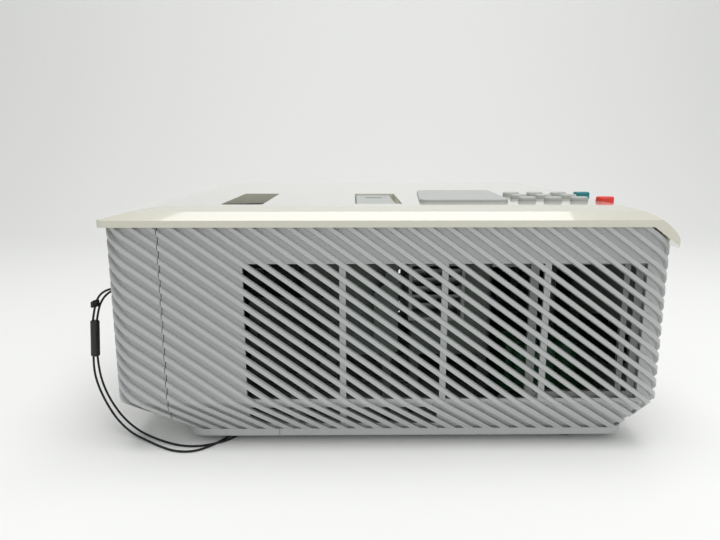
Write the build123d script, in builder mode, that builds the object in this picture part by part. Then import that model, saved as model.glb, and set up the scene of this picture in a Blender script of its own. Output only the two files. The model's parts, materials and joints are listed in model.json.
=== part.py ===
"""Projector with a built-in disc player.

The casing is a hollow shell whose walls carry diagonal ribs that wind round all four sides
like a coarse screw thread, pass over the ventilation windows and run down the lower chamfer.
The lens looks along -X, the disc tray leaves the rear wall along +X, and the part stands on
Z = 0 with its origin under the middle of the casing.
"""
from build123d import *
import math
import os

os.makedirs("parts", exist_ok=True)

# ---------------------------------------------------------------- driving dimensions
# Casing
casing_length = 340.0
casing_width = 285.0
lid_overhang_x = 2.0
lid_overhang_y = 1.5
ground_gap = 4.5
base_height = 5.0
chamfer_height = 23.0
side_inset = 14.0
front_inset = 39.0
lid_seat = 141.0
crest_corner = 13.0
wall = 2.5
parting_x = -135.5
parting_gap = 0.5
lid_gap = 0.3

# Ribs
rib_relief = 2.5
rib_angle = 36.0
rib_count = 105
rib_crest_width = 2.3
rib_foot_width = 3.5
rib_phase = 3.4

# Windows in the side walls
window_width = 57.0
window_bar = 3.8
window_count = 4
window_first_x = -87.0
window_low = 34.5
window_high = 119.0
vent_low = 13.0
vent_high = 28.0

# Lid
lid_corner = 5.0
lid_edge_height = 4.0
lid_roof = 2.5
lid_rim = 5.5
crease_height = 8.5
plateau_height = 10.5
crease_inset_side = 6.0
crease_inset_front = 18.0
plateau_step = 14.0
droop_start = 152.7
droop_tip_low = 128.0
droop_tip_high = 131.6

# Running clearances
fit = 0.06
slide_gap = 0.3

# Lens
lens_y = -66.0
lens_z = 98.0
barrel_radius = 34.0
barrel_bore = 30.0
barrel_front_x = -164.0
barrel_rear_x = -56.0
ring_radius = 40.5
ring_width = 11.0
focus_ring_x = -103.0
ring_spacing = 12.6
collar_radius = 37.0
collar_width = 1.0
cell_length = 16.0
cell_wall = 3.5
cap_face = 2.0
cap_wall = 2.2
cap_depth = 9.0
lens_opening = 39.0
strap_hole_y = -106.5

# Loader
tray_y = 62.0
tray_width = 124.0
tray_low = 104.0
tray_thickness = 6.0
tray_inner_x = 12.0
tray_front_x = 165.0
tray_travel = 130.0
disc_x = 100.0
disc_recess_radius = 61.0
disc_recess_depth = 2.5
chassis_low = 92.0
chassis_high = 116.0
chassis_wall = 2.0
spindle_slot = 40.0

# Keys
key_length = 11.7
key_width = 6.6
key_proud = 2.8
key_travel = 1.2
key_column_pitch = 17.25
key_row_pitch = 21.5
key_first_x = 93.5
key_first_y = -86.0

# ---------------------------------------------------------------- derived levels
base_low = ground_gap
strip_top = base_low + base_height
chamfer_top = strip_top + chamfer_height
crest_half_x = casing_length / 2 - lid_overhang_x
crest_half_y = casing_width / 2 - lid_overhang_y
corner_x = crest_half_x - crest_corner
corner_y = crest_half_y - crest_corner
plateau_z = lid_seat + plateau_height
droop_slope = (lid_seat - droop_tip_low) / (casing_length / 2 - droop_start)
roof_under = plateau_z - lid_roof
inner_x = crest_half_x - rib_relief - wall
inner_y = crest_half_y - rib_relief - wall
rear_wall_x = crest_half_x - rib_relief
base_floor = base_low + 2.5
foot_shift = (front_inset - side_inset) / 2

perimeter = 4 * corner_x + 4 * corner_y + 2 * math.pi * crest_corner
rib_pitch_flat = perimeter / rib_count
rib_slope = math.tan(math.radians(rib_angle))
rib_pitch_square = rib_pitch_flat * math.sin(math.radians(rib_angle))
corner_run = crest_corner * math.pi / 2


# ---------------------------------------------------------------- casing blocks
def casing_block(inset):
    """The casing's outline as a solid, set in from the rib crests by inset."""
    length = 2 * (crest_half_x - inset)
    width = 2 * (crest_half_y - inset)
    corner = crest_corner - inset
    with BuildPart() as block:
        with BuildSketch(Plane.XY.offset(chamfer_top)):
            RectangleRounded(length, width, corner)
        extrude(amount=lid_seat - chamfer_top)
        with BuildSketch(Plane.XY.offset(chamfer_top)):
            RectangleRounded(length, width, corner)
        with BuildSketch(Plane.XY.offset(strip_top)):
            with Locations((foot_shift, 0)):
                RectangleRounded(length - front_inset - side_inset, width - 2 * side_inset, corner)
        loft(ruled=True)
        with BuildSketch(Plane.XZ):
            with BuildLine():
                start = droop_start - lid_gap / math.sin(math.atan(droop_slope))
                run = 30.0
                Polyline(
                    (start, lid_seat),
                    (start + run, lid_seat - run * droop_slope),
                    (start + run, lid_seat + 1),
                    (start, lid_seat + 1),
                    close=True,
                )
            make_face()
        extrude(amount=casing_width, both=True, mode=Mode.SUBTRACT)
    return block.part


def gap_profile(depth):
    """Section of the groove between two ribs: straight below the wall line, drafted above it."""
    foot = (rib_pitch_square - rib_foot_width) / 2
    crest = (rib_pitch_square - rib_crest_width) / 2
    spread = crest - foot
    return [
        (-foot, -depth),
        (foot, -depth),
        (foot, -rib_relief),
        (crest + spread, rib_relief),
        (-crest - spread, rib_relief),
        (-foot, -rib_relief),
    ]


def groove_runs(start_run, length):
    """Run positions, at the lid's level, of every groove that crosses a stretch of the wall."""
    tall = (lid_seat - strip_top) / rib_slope
    first = math.floor((start_run - tall) / rib_pitch_flat) - 1
    last = math.ceil((start_run + length) / rib_pitch_flat) + 1
    return [(index + 0.5) * rib_pitch_flat + rib_phase for index in range(first, last)]


def side_grooves(turn, face, half_length, start_run, depth):
    """All grooves of one flat side, copies of one slanted prism along the wall."""
    turned = Plane.XY.rotated((0, 0, turn))
    along = turned.x_dir
    outward = turned.y_dir * -1
    slant = math.radians(rib_angle)
    down = along * math.cos(slant) + Vector(0, 0, -math.sin(slant))
    across = along * math.sin(slant) + Vector(0, 0, math.cos(slant))
    reach = 2 * half_length + (lid_seat - strip_top) / rib_slope
    centre = outward * face + Vector(0, 0, lid_seat)
    with BuildPart() as groove:
        with BuildSketch(Plane(origin=centre, x_dir=across, z_dir=down)):
            Polygon(*gap_profile(depth), align=None)
        extrude(amount=reach, both=True)
    runs = [run - start_run - half_length for run in groove_runs(start_run, 2 * half_length)]
    return [groove.part.moved(Location(along * run)) for run in runs]


def corner_grooves(centre, first_angle, start_run):
    """All grooves of one rounded corner, copies of one ruled helical strip up the corner."""
    steps = 4
    slant = math.radians(rib_angle)
    half_foot = (rib_pitch_square - rib_foot_width) / 2 / math.cos(slant)
    half_crest = (rib_pitch_square - rib_crest_width) / 2 / math.cos(slant)
    margin = math.radians(2)
    with BuildPart() as strip:
        for step in range(steps + 1):
            turn = -margin + (math.pi / 2 + 2 * margin) * step / steps
            angle = first_angle + turn
            section = Plane(
                origin=(centre[0], centre[1], lid_seat - rib_slope * crest_corner * turn),
                x_dir=(math.cos(angle), math.sin(angle), 0),
                z_dir=(math.sin(angle), -math.cos(angle), 0),
            )
            with BuildSketch(section):
                Polygon(
                    (0.2, -half_foot),
                    (crest_corner - rib_relief, -half_foot),
                    (crest_corner + 1, -half_crest),
                    (crest_corner + 1, half_crest),
                    (crest_corner - rib_relief, half_foot),
                    (0.2, half_foot),
                    align=None,
                )
        loft(ruled=True)
    levels = [rib_slope * (run - start_run) for run in groove_runs(start_run, corner_run)]
    return [strip.part.moved(Location((0, 0, level))) for level in levels]


def cell(points):
    """An upright prism over one region of the plan."""
    with BuildPart() as prism:
        with BuildSketch(Plane.XY):
            with BuildLine():
                Polyline(*points, close=True)
            make_face()
        extrude(amount=lid_seat + 10)
    return prism.part


# ---------------------------------------------------------------- openings
window_pitch = window_width + window_bar
window_middle_x = window_first_x + window_width / 2
window_centres = [window_middle_x + index * window_pitch for index in range(window_count)]
window_middle = (window_low + window_high) / 2
vent_middle = (vent_low + vent_high) / 2
lens_side = Plane(origin=(0, lens_y, lens_z), x_dir=(1, 0, 0), z_dir=(0, -1, 0))
lens_axis = Axis((0, lens_y, lens_z), (1, 0, 0))

# Fields in the end walls: (y, z, width, height)
tray_slot = (tray_y, tray_low + 5.5, tray_width + 8.4, 17.2)
socket_field = (68.0, 58.0, 104.0, 34.0)
inlet_field = (-89.0, 54.0, 28.4, 20.6)
switch_field = (-58.0, 54.0, 15.6, 20.6)
receiver_field = (84.0, 100.0, 16.0, 9.0)
flat_margin = 4.0
wall_cut = rib_relief + wall + 3


def lens_face(x):
    """Plane square to the lens axis at x, looking towards the rear."""
    return Plane(origin=(x, lens_y, lens_z), x_dir=(0, 1, 0), z_dir=(1, 0, 0))


with BuildPart() as end_openings:
    with BuildSketch(lens_face(-crest_half_x - 1)):
        Circle(lens_opening)
        with Locations((strap_hole_y - lens_y, 0)):
            RectangleRounded(14, 14, 2)
    extrude(amount=wall_cut)
    with BuildSketch(Plane.YZ.offset(-crest_half_x - 1)):
        with Locations(receiver_field[:2]):
            SlotOverall(receiver_field[2], receiver_field[3])
    extrude(amount=wall_cut)
    with BuildSketch(Plane.YZ.offset(inner_x - 1)):
        with Locations(tray_slot[:2]):
            RectangleRounded(tray_slot[2], tray_slot[3], 1.5)
        for field in (socket_field, inlet_field, switch_field):
            with Locations(field[:2]):
                Rectangle(field[2], field[3])
    extrude(amount=wall_cut)
    with Locations((parting_x, 0, lid_seat / 2)):
        Box(parting_gap, casing_width, 2 * lid_seat)

with BuildPart() as flat_fields:
    with BuildSketch(Plane.YZ.offset(rear_wall_x)):
        for field in (socket_field, inlet_field, switch_field):
            with Locations(field[:2]):
                Rectangle(field[2] + 2 * flat_margin, field[3] + 2 * flat_margin)
    extrude(amount=rib_relief + 1)


def rib_ring():
    """The ribs alone: the skin between wall and crest, less every groove."""
    skin = casing_block(0) - casing_block(rib_relief) - end_openings.part - flat_fields.part
    out_x = crest_half_x + 5
    out_y = crest_half_y + 5
    deep_front = crest_half_x - front_inset - rib_relief - 1
    deep_rear = crest_half_x - side_inset - rib_relief - 1
    deep_side = crest_half_y - side_inset - rib_relief - 1
    mitre = ((-deep_front, deep_side), (deep_rear, deep_side))
    near = [(-corner_x, -out_y), (corner_x, -out_y), (corner_x, -corner_y)]
    near += [(mitre[1][0], -mitre[1][1]), (mitre[0][0], -mitre[0][1]), (-corner_x, -corner_y)]
    far = [(x, -y) for x, y in near]
    rear = [(out_x, -corner_y), (out_x, corner_y), (corner_x, corner_y)]
    rear += [(mitre[1][0], mitre[1][1]), (mitre[1][0], -mitre[1][1]), (corner_x, -corner_y)]
    front = [(-out_x, -corner_y), (-corner_x, -corner_y), (mitre[0][0], -mitre[0][1])]
    front += [(mitre[0][0], mitre[0][1]), (-corner_x, corner_y), (-out_x, corner_y)]

    run_rear = 2 * corner_x + corner_run
    run_far = run_rear + 2 * corner_y + corner_run
    run_front = run_far + 2 * corner_x + corner_run
    sides = [
        (near, 0, crest_half_y, corner_x, 0, side_inset),
        (rear, 90, crest_half_x, corner_y, run_rear, side_inset),
        (far, 180, crest_half_y, corner_x, run_far, side_inset),
        (front, 270, crest_half_x, corner_y, run_front, front_inset),
    ]
    ribs = []
    for points, turn, face, half_length, start_run, inset in sides:
        grooves = side_grooves(turn, face, half_length, start_run, inset + rib_relief + 3)
        ribs.append((skin & cell(points)) - grooves)

    corners = [
        (1, -1, -90, 2 * corner_x),
        (1, 1, 0, run_rear + 2 * corner_y),
        (-1, 1, 90, run_far + 2 * corner_x),
        (-1, -1, 180, run_front + 2 * corner_y),
    ]
    for sign_x, sign_y, first_angle, start_run in corners:
        centre = (sign_x * corner_x, sign_y * corner_y)
        points = [
            centre,
            (sign_x * out_x, centre[1]),
            (sign_x * out_x, sign_y * out_y),
            (centre[0], sign_y * out_y),
        ]
        strips = corner_grooves(centre, math.radians(first_angle), start_run)
        ribs.append((skin & cell(points)) - strips)
    return ribs



# ---------------------------------------------------------------- ribbed casing
column_places = [(-58, 1), (126, 1), (-58, -1), (126, -1)]
column_y = 113.0
column_radius = 5.0
column_height = 20.0
screw_radius = 1.3
tongue_reach = 7.0
tongue_depth = 1.5

# Screw columns that tie the housing to the base, each on a web from the sloping wall
with BuildPart() as columns:
    for x, side in column_places:
        with BuildSketch(Plane.XY.offset(strip_top)):
            with Locations((x, side * (column_y + 10))):
                Rectangle(3, 20)
        extrude(amount=column_height)
    add(casing_block(rib_relief + wall / 2), mode=Mode.INTERSECT)
    with BuildSketch(Plane.XY.offset(base_floor)):
        with Locations([(x, side * column_y) for x, side in column_places]):
            Circle(column_radius)
    extrude(amount=column_height)
    with BuildSketch(Plane.XY.offset(base_floor)):
        with Locations([(x, side * column_y) for x, side in column_places]):
            Circle(screw_radius + 0.05)
    extrude(amount=column_height - 4, mode=Mode.SUBTRACT)

with BuildPart() as shell:
    add(casing_block(rib_relief))
    add(casing_block(rib_relief + wall), mode=Mode.SUBTRACT)
    with BuildSketch(Plane.XZ):
        with Locations([(x, window_middle) for x in window_centres]):
            Rectangle(window_width, window_high - window_low)
        with Locations([(x, vent_middle) for x in window_centres[:2]]):
            Rectangle(window_width, vent_high - vent_low)
    extrude(amount=casing_width, both=True, mode=Mode.SUBTRACT)
    add(end_openings.part, mode=Mode.SUBTRACT)
    add(columns.part)
    for side in (-1, 1):
        tongue_y = side * (inner_y - 0.15 - tongue_depth / 2)
        with Locations((parting_x - 1, tongue_y, 86)):
            Box(2 * tongue_reach, tongue_depth, 70)
        with Locations((parting_x - parting_gap / 2 - 4, side * (inner_y - 0.5), 86)):
            Box(8, 1.4, 70)

casing = shell.part.fuse(*rib_ring(), glue=True)
casing_parts = casing.solids().sort_by(Axis.X)

with BuildPart() as front_cover:
    add(casing_parts[0])
front_cover.part.label = "front_cover"
export_step(front_cover.part, "parts/front_cover.step")

with BuildPart() as main_housing:
    add(casing_parts[-1])
main_housing.part.label = "main_housing"
export_step(main_housing.part, "parts/main_housing.step")

with BuildPart() as ir_window:
    with BuildSketch(Plane.YZ.offset(-crest_half_x + 0.6)):
        with Locations(receiver_field[:2]):
            SlotOverall(receiver_field[2] - 0.4, receiver_field[3] - 0.4)
    extrude(amount=rib_relief + wall - 0.6)
    fillet(ir_window.faces().sort_by(Axis.X)[0].edges(), 1.0)
    with BuildSketch(Plane.YZ.offset(-inner_x)):
        with Locations(receiver_field[:2]):
            SlotOverall(receiver_field[2] + 3, receiver_field[3] + 3)
    extrude(amount=1.5)
ir_window.part.label = "ir_window"
export_step(ir_window.part, "parts/ir_window.step")

# ---------------------------------------------------------------- base
base_length = 2 * crest_half_x - front_inset - side_inset
base_width = 2 * crest_half_y - 2 * side_inset
base_rim = 6.0
floor_length = base_length - 2 * base_rim
floor_width = base_width - 2 * base_rim
base_front_x = foot_shift - base_length / 2
base_rear_x = foot_shift + base_length / 2
front_foot_x = -98.0
foot_stem_radius = 6.0
foot_pad_radius = 10.0
foot_pad_height = ground_gap - slide_gap
foot_stem_top = 40.0
foot_travel = 20.0
guide_top = 11.4
plate_low = 12.0
plate_thickness = 2.0
release_travel = 2.5
release_clearance = 0.8
release_width = 16.0
release_face_low = base_low + 1.0
release_face_height = 3.4
loader_posts = [(30.0, 2.0), (142.0, 2.0), (30.0, 112.0), (142.0, 112.0)]
loader_post_radius = 4.0
board_low = 22.0
board_thickness = 1.6
board_centre = (36.0, 45.0)
board_size = (192.0, 118.0)
board_corners = [(-54.0, -8.0), (126.0, -8.0), (-54.0, 98.0), (126.0, 98.0)]
standoff_radius = 3.0
supply_low = 26.0
supply_centre = (110.0, -72.0)
supply_size = (68.0, 66.0)
supply_corners = [(80.0, -101.0), (140.0, -101.0), (80.0, -46.0), (140.0, -46.0)]
ceiling_holes = [(-70.0, 70.0), (105.0, -76.0), (105.0, 60.0)]
ceiling_hole_radius = 2.0
ceiling_hole_depth = 8.0
anchor_x = -97.0
anchor_y = -112.0

with BuildPart() as base_pan:
    with BuildSketch(Plane.XY.offset(base_low)):
        with Locations((foot_shift, 0)):
            RectangleRounded(base_length, base_width, crest_corner)
    extrude(amount=base_height)
    chamfer(base_pan.faces().sort_by(Axis.Z)[0].edges(), 0.8)
    with BuildSketch(Plane.XY.offset(base_floor)):
        with Locations((foot_shift, 0)):
            RectangleRounded(floor_length, floor_width, crest_corner - base_rim)
    extrude(amount=base_height, mode=Mode.SUBTRACT)
    with BuildSketch(Plane.XY.offset(base_floor)):
        with Locations(loader_posts):
            Circle(loader_post_radius)
    extrude(amount=chassis_low - base_floor)
    with BuildSketch(Plane.XY.offset(base_floor)):
        with Locations(board_corners):
            Circle(standoff_radius)
    extrude(amount=board_low - base_floor)
    with BuildSketch(Plane.XY.offset(base_floor)):
        with Locations(supply_corners):
            Circle(standoff_radius)
    extrude(amount=supply_low - base_floor)
    with BuildSketch(Plane.XY.offset(base_floor)):
        with Locations(ceiling_holes):
            Circle(ceiling_hole_radius + 3)
    extrude(amount=ceiling_hole_depth)
    with BuildSketch(Plane.XY.offset(base_low)):
        with Locations(ceiling_holes):
            Circle(ceiling_hole_radius)
    extrude(amount=ceiling_hole_depth, mode=Mode.SUBTRACT)
    with BuildSketch(Plane.XY.offset(base_low)):
        with Locations((front_foot_x, 0)):
            Circle(foot_stem_radius + 3)
    extrude(amount=guide_top - base_low)
    with BuildSketch(Plane.XY.offset(base_low)):
        with Locations((front_foot_x, 0)):
            Circle(foot_stem_radius + slide_gap)
        with Locations([(x, side * column_y) for x, side in column_places]):
            Circle(screw_radius + 0.4)
    extrude(amount=guide_top, mode=Mode.SUBTRACT)
    with BuildSketch(Plane.XY.offset(base_low)):
        with Locations([(x, side * column_y) for x, side in column_places]):
            Circle(3.4)
    extrude(amount=1.0, mode=Mode.SUBTRACT)
    with BuildSketch(Plane.XY.offset(base_low)):
        with Locations((-20, -40), (-20, 40)):
            with GridLocations(48, 8, 2, 5):
                SlotOverall(38, 3.4)
    extrude(amount=base_height, mode=Mode.SUBTRACT)
    with BuildSketch(Plane.YZ.offset(base_front_x - 1)):
        with Locations((0, release_face_low + release_face_height / 2)):
            Rectangle(release_width + 2 * slide_gap, release_face_height + 2 * slide_gap)
    extrude(amount=base_rim + release_travel + 2, mode=Mode.SUBTRACT)
    with Locations((-69, -base_width / 2, base_low + base_height / 2)):
        Box(0.6, 1.6, base_height + 1, mode=Mode.SUBTRACT)
    with BuildSketch(Plane.XY.offset(base_low)):
        with Locations((anchor_x, anchor_y)):
            SlotOverall(14, 9)
    extrude(amount=1.6, mode=Mode.SUBTRACT)
    with Locations((anchor_x, anchor_y, base_low + 0.8)):
        Box(1.6, 6, 1.6)
base_pan.part.label = "base_pan"
export_step(base_pan.part, "parts/base_pan.step")

with BuildPart() as front_foot:
    with BuildSketch(Plane.XY):
        with Locations((front_foot_x, 0)):
            Circle(foot_pad_radius)
    extrude(amount=foot_pad_height)
    fillet(front_foot.edges().filter_by(GeomType.CIRCLE), 1.2)
    with BuildSketch(Plane.XY.offset(foot_pad_height - 1)):
        with Locations((front_foot_x, 0)):
            Circle(foot_stem_radius)
    extrude(amount=foot_stem_top - foot_pad_height + 1)
    with Locations([(front_foot_x + foot_stem_radius, 0, 15.4 + 4 * step) for step in range(6)]):
        Box(1.6, 6, 1.6, mode=Mode.SUBTRACT)
front_foot.part.label = "front_foot"
export_step(front_foot.part, "parts/front_foot.step")

with BuildPart() as foot_release:
    face_middle = release_face_low + release_face_height / 2
    plate_top = plate_low + plate_thickness
    with Locations((base_front_x + 2.7, 0, face_middle)):
        Box(6.0, release_width, release_face_height)
    fillet(foot_release.edges().filter_by(Axis.Z).group_by(Axis.X)[0], 1.0)
    riser_x = base_front_x + base_rim + release_travel + 1.5
    arm_low = base_floor + slide_gap
    arm_top = release_face_low + release_face_height
    with Locations((riser_x - 2.0, 0, (arm_low + arm_top) / 2)):
        Box(8.0, release_width - 4, arm_top - arm_low)
    with Locations((riser_x + 1, 0, (arm_low + plate_top) / 2)):
        Box(2.0, release_width - 4, plate_top - arm_low)
    with BuildSketch(Plane.XY.offset(plate_low)):
        with Locations(((riser_x + front_foot_x + 14) / 2, 0)):
            Rectangle(front_foot_x + 14 - riser_x, 24)
        with Locations((front_foot_x - release_travel / 2, 0)):
            stem_window = 2 * (foot_stem_radius + release_clearance)
            Rectangle(stem_window + release_travel, stem_window, mode=Mode.SUBTRACT)
    extrude(amount=plate_thickness)
foot_release.part.label = "foot_release"
export_step(foot_release.part, "parts/foot_release.step")

rear_foot_x = 117.5
rear_foot_y = 111.0
with BuildPart() as rear_feet:
    with BuildSketch(Plane.XY):
        with Locations((rear_foot_x, rear_foot_y), (rear_foot_x, -rear_foot_y)):
            Circle(8)
    extrude(amount=ground_gap)
    fillet(rear_feet.edges().filter_by(GeomType.CIRCLE).group_by(Axis.Z)[0], 1.2)
rear_feet.part.label = "rear_feet"
export_step(rear_feet.part, "parts/rear_feet.step")

with BuildPart() as screws:
    with BuildSketch(Plane.XY.offset(base_low + 0.1)):
        with Locations([(x, side * column_y) for x, side in column_places]):
            Circle(2.8)
    extrude(amount=0.9)
    with BuildSketch(Plane.XY.offset(base_low + 0.5)):
        with Locations([(x, side * column_y) for x, side in column_places]):
            Circle(screw_radius)
    extrude(amount=13)
screws.part.label = "screws"
export_step(screws.part, "parts/screws.step")

# ---------------------------------------------------------------- lid
ring_window = (-104.0, -78.0, -112.0, -20.0)
slide_well = (-20.5, 9.0, -108.0, -22.0)
well_depth = 4.0
skirt = 2.0
skirt_low = 144.0
droop_crease_x = 152.5
droop_plateau_x = 142.0

with BuildPart() as lid_form:
    half = casing_length / 2
    with BuildSketch(Plane.XZ):
        with BuildLine():
            Polyline(
                (droop_start, lid_seat),
                (-half, lid_seat),
                (-half, lid_seat + lid_edge_height),
                (-half + crease_inset_front, lid_seat + crease_height),
                (-half + crease_inset_front + plateau_step, plateau_z),
                (droop_plateau_x, plateau_z),
            )
            ThreePointArc(
                (droop_plateau_x, plateau_z),
                (droop_crease_x + 1.0, lid_seat + crease_height - 2.2),
                (half, droop_tip_high),
            )
            Polyline((half, droop_tip_high), (half, droop_tip_low), (droop_start, lid_seat))
        make_face()
    extrude(amount=casing_width / 2, both=True)
    with BuildSketch(Plane.YZ):
        half_y = casing_width / 2
        crease_y = half_y - crease_inset_side
        plateau_y = crease_y - plateau_step
        Polygon(
            (-half_y, droop_tip_low - 1),
            (half_y, droop_tip_low - 1),
            (half_y, lid_seat + lid_edge_height),
            (crease_y, lid_seat + crease_height),
            (plateau_y, plateau_z),
            (-plateau_y, plateau_z),
            (-crease_y, lid_seat + crease_height),
            (-half_y, lid_seat + lid_edge_height),
            align=None,
        )
    extrude(amount=casing_length, both=True, mode=Mode.INTERSECT)
    with BuildSketch(Plane.XY.offset(droop_tip_low - 1)):
        RectangleRounded(casing_length, casing_width, lid_corner)
    extrude(amount=40, mode=Mode.INTERSECT)

hollow_rear_x = 157.0
with BuildPart() as lid_hollow:
    add(lid_form.part.moved(Location((0, 0, -lid_roof))))
    with BuildSketch(Plane.XY.offset(lid_seat)):
        hollow_front_x = -casing_length / 2 + lid_rim
        with Locations(((hollow_front_x + hollow_rear_x) / 2, 0)):
            RectangleRounded(hollow_rear_x - hollow_front_x, casing_width - 2 * lid_rim, 3)
    extrude(amount=20, mode=Mode.INTERSECT)

key_columns = [key_first_x + index * key_column_pitch for index in range(4)]
key_rows = [key_first_y + index * key_row_pitch for index in range(3)]
grey_keys = [(x, y) for y in key_rows for x in key_columns[:3]]
red_key = (key_columns[3], key_rows[0])
teal_key = (key_columns[3], key_rows[2])
all_keys = grey_keys + [red_key, teal_key]
keypad_top = 143.0
switch_height = 0.4
keypad_bosses = [(84.0, -96.0), (84.0, -33.0), (138.0, -54.0), (138.0, -75.0)]


def middle_of(window):
    return ((window[0] + window[1]) / 2, (window[2] + window[3]) / 2)


def span_of(window, grow=0.0):
    return (window[1] - window[0] + grow, window[3] - window[2] + grow)


with BuildPart() as top_cover:
    add(lid_form.part)
    add(lid_hollow.part, mode=Mode.SUBTRACT)
    with BuildSketch(Plane.XY.offset(skirt_low)):
        with Locations(middle_of(ring_window)):
            RectangleRounded(*span_of(ring_window, 2 * skirt), 5)
        with Locations(middle_of(slide_well)):
            RectangleRounded(*span_of(slide_well, 2 * skirt), 3)
    extrude(amount=roof_under - skirt_low + 0.5)
    with BuildSketch(Plane.XY.offset(skirt_low - 1)):
        with Locations(middle_of(ring_window)):
            RectangleRounded(*span_of(ring_window), 3)
    extrude(amount=20, mode=Mode.SUBTRACT)
    with BuildSketch(Plane.XY.offset(plateau_z - well_depth)):
        with Locations(middle_of(slide_well)):
            RectangleRounded(*span_of(slide_well), 1)
    extrude(amount=20, mode=Mode.SUBTRACT)
    with BuildSketch(Plane.XY.offset(skirt_low - 1)):
        with Locations(middle_of(slide_well)):
            Rectangle(9, 18)
    extrude(amount=20, mode=Mode.SUBTRACT)
    with BuildSketch(Plane.XY.offset(keypad_top)):
        with Locations(keypad_bosses):
            Circle(2.5)
    extrude(amount=roof_under - keypad_top + 0.5)
    with BuildSketch(Plane.XY.offset(lid_seat + 1)):
        with Locations(all_keys):
            SlotOverall(key_length + 2 * slide_gap, key_width + 2 * slide_gap)
    extrude(amount=20, mode=Mode.SUBTRACT)
top_cover.part.label = "top_cover"
export_step(top_cover.part, "parts/top_cover.step")

# ---------------------------------------------------------------- lid fittings
panel_proud = 2.0
with BuildPart() as status_panel:
    with BuildSketch(Plane.XY.offset(plateau_z)) as panel_outline:
        Polygon((21, -97), (79, -97), (84, -10), (28, -10), align=None)
        fillet(panel_outline.vertices(), 5)
    extrude(amount=panel_proud)
    fillet(status_panel.faces().sort_by(Axis.Z)[-1].edges(), 0.8)
status_panel.part.label = "status_panel"
export_step(status_panel.part, "parts/status_panel.step")

slide_travel = 2.4
plate_x = (slide_well[0] + 0.8, slide_well[1] - 0.8 - slide_travel)
with BuildPart() as slide_plate:
    plate_floor = plateau_z - well_depth + slide_gap
    with BuildSketch(Plane.XY.offset(plate_floor)):
        with Locations(((plate_x[0] + plate_x[1]) / 2, middle_of(slide_well)[1])):
            RectangleRounded(plate_x[1] - plate_x[0], span_of(slide_well)[1] - 1.2, 2)
    extrude(amount=2.6)
    fillet(slide_plate.faces().sort_by(Axis.Z)[-1].edges(), 0.8)
    with Locations((-11.5, -40, plate_floor + 2.6), (1.5, -40, plate_floor + 2.6)):
        Cylinder(1.3, 2.0, mode=Mode.SUBTRACT)
    with Locations(((plate_x[0] + plate_x[1]) / 2, -48, plate_floor + 2.6)):
        Box(12, 2, 1.2)
    stem_x = middle_of(slide_well)[0] - slide_travel / 2
    with Locations((stem_x, middle_of(slide_well)[1], plate_floor - 2.2)):
        Box(5, 16, 5)
    with Locations((stem_x, middle_of(slide_well)[1], skirt_low - 1.2)):
        Box(5, 22, 1.2)
slide_plate.part.label = "slide_plate"
export_step(slide_plate.part, "parts/slide_plate.step")

key_flange_top = roof_under - 2.6
key_flange_length = 9.2
key_bottom = keypad_top + switch_height + key_travel + 0.2


def key_solid(place):
    """One key: a domed cap with a flange under the lid and a stem over its switch."""
    with BuildPart() as key:
        with BuildSketch(Plane.XY.offset(key_flange_top - 1)):
            with Locations(place):
                SlotOverall(key_length, key_width)
        extrude(amount=plateau_z + key_proud - key_flange_top + 1)
        fillet(key.faces().sort_by(Axis.Z)[-1].edges(), 1.2)
        with BuildSketch(Plane.XY.offset(key_flange_top - 1)):
            with Locations(place):
                SlotOverall(key_flange_length, key_width + 2.4)
        extrude(amount=1.0)
        with BuildSketch(Plane.XY.offset(key_bottom)):
            with Locations(place):
                Circle(1.8)
        extrude(amount=key_flange_top - 1 - key_bottom)
    return key.part


for index, place in enumerate(grey_keys):
    grey_key = key_solid(place)
    grey_key.label = f"key_{index + 1}"
    export_step(grey_key, f"parts/key_{index + 1}.step")
power_key = key_solid(red_key)
power_key.label = "power_key"
export_step(power_key, "parts/power_key.step")
source_key = key_solid(teal_key)
source_key.label = "source_key"
export_step(source_key, "parts/source_key.step")

with BuildPart() as keypad_board:
    with BuildSketch(Plane.XY.offset(keypad_top - 1.6)):
        with Locations((117, -64.5)):
            RectangleRounded(72, 72, 3)
    extrude(amount=1.6)
    with BuildSketch(Plane.XY.offset(keypad_top)):
        with Locations(all_keys):
            Circle(2.2)
    extrude(amount=switch_height)
keypad_board.part.label = "keypad_board"
export_step(keypad_board.part, "parts/keypad_board.step")

# ---------------------------------------------------------------- lens
ring_starts = [focus_ring_x, focus_ring_x + ring_spacing]
collar_starts = [focus_ring_x - slide_gap - collar_width]
collar_starts += [start + ring_width + slide_gap for start in ring_starts]
barrel_step_x = -70.0
barrel_inner_radius = 24.0

with BuildPart() as lens_barrel:
    with BuildSketch(lens_face(barrel_front_x)):
        Circle(barrel_radius)
    extrude(amount=barrel_rear_x - barrel_front_x)
    for start in collar_starts:
        with BuildSketch(lens_face(start)):
            Circle(collar_radius)
        extrude(amount=collar_width)
    with BuildSketch(lens_face(barrel_rear_x - 5)):
        RectangleRounded(74, 74, 8)
    extrude(amount=5)
    with BuildSketch(lens_face(barrel_front_x)):
        Circle(barrel_bore)
    extrude(amount=barrel_step_x - barrel_front_x, mode=Mode.SUBTRACT)
    with BuildSketch(lens_face(barrel_step_x)):
        Circle(barrel_inner_radius)
    extrude(amount=barrel_rear_x - barrel_step_x, mode=Mode.SUBTRACT)
lens_barrel.part.label = "lens_barrel"
export_step(lens_barrel.part, "parts/lens_barrel.step")

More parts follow.
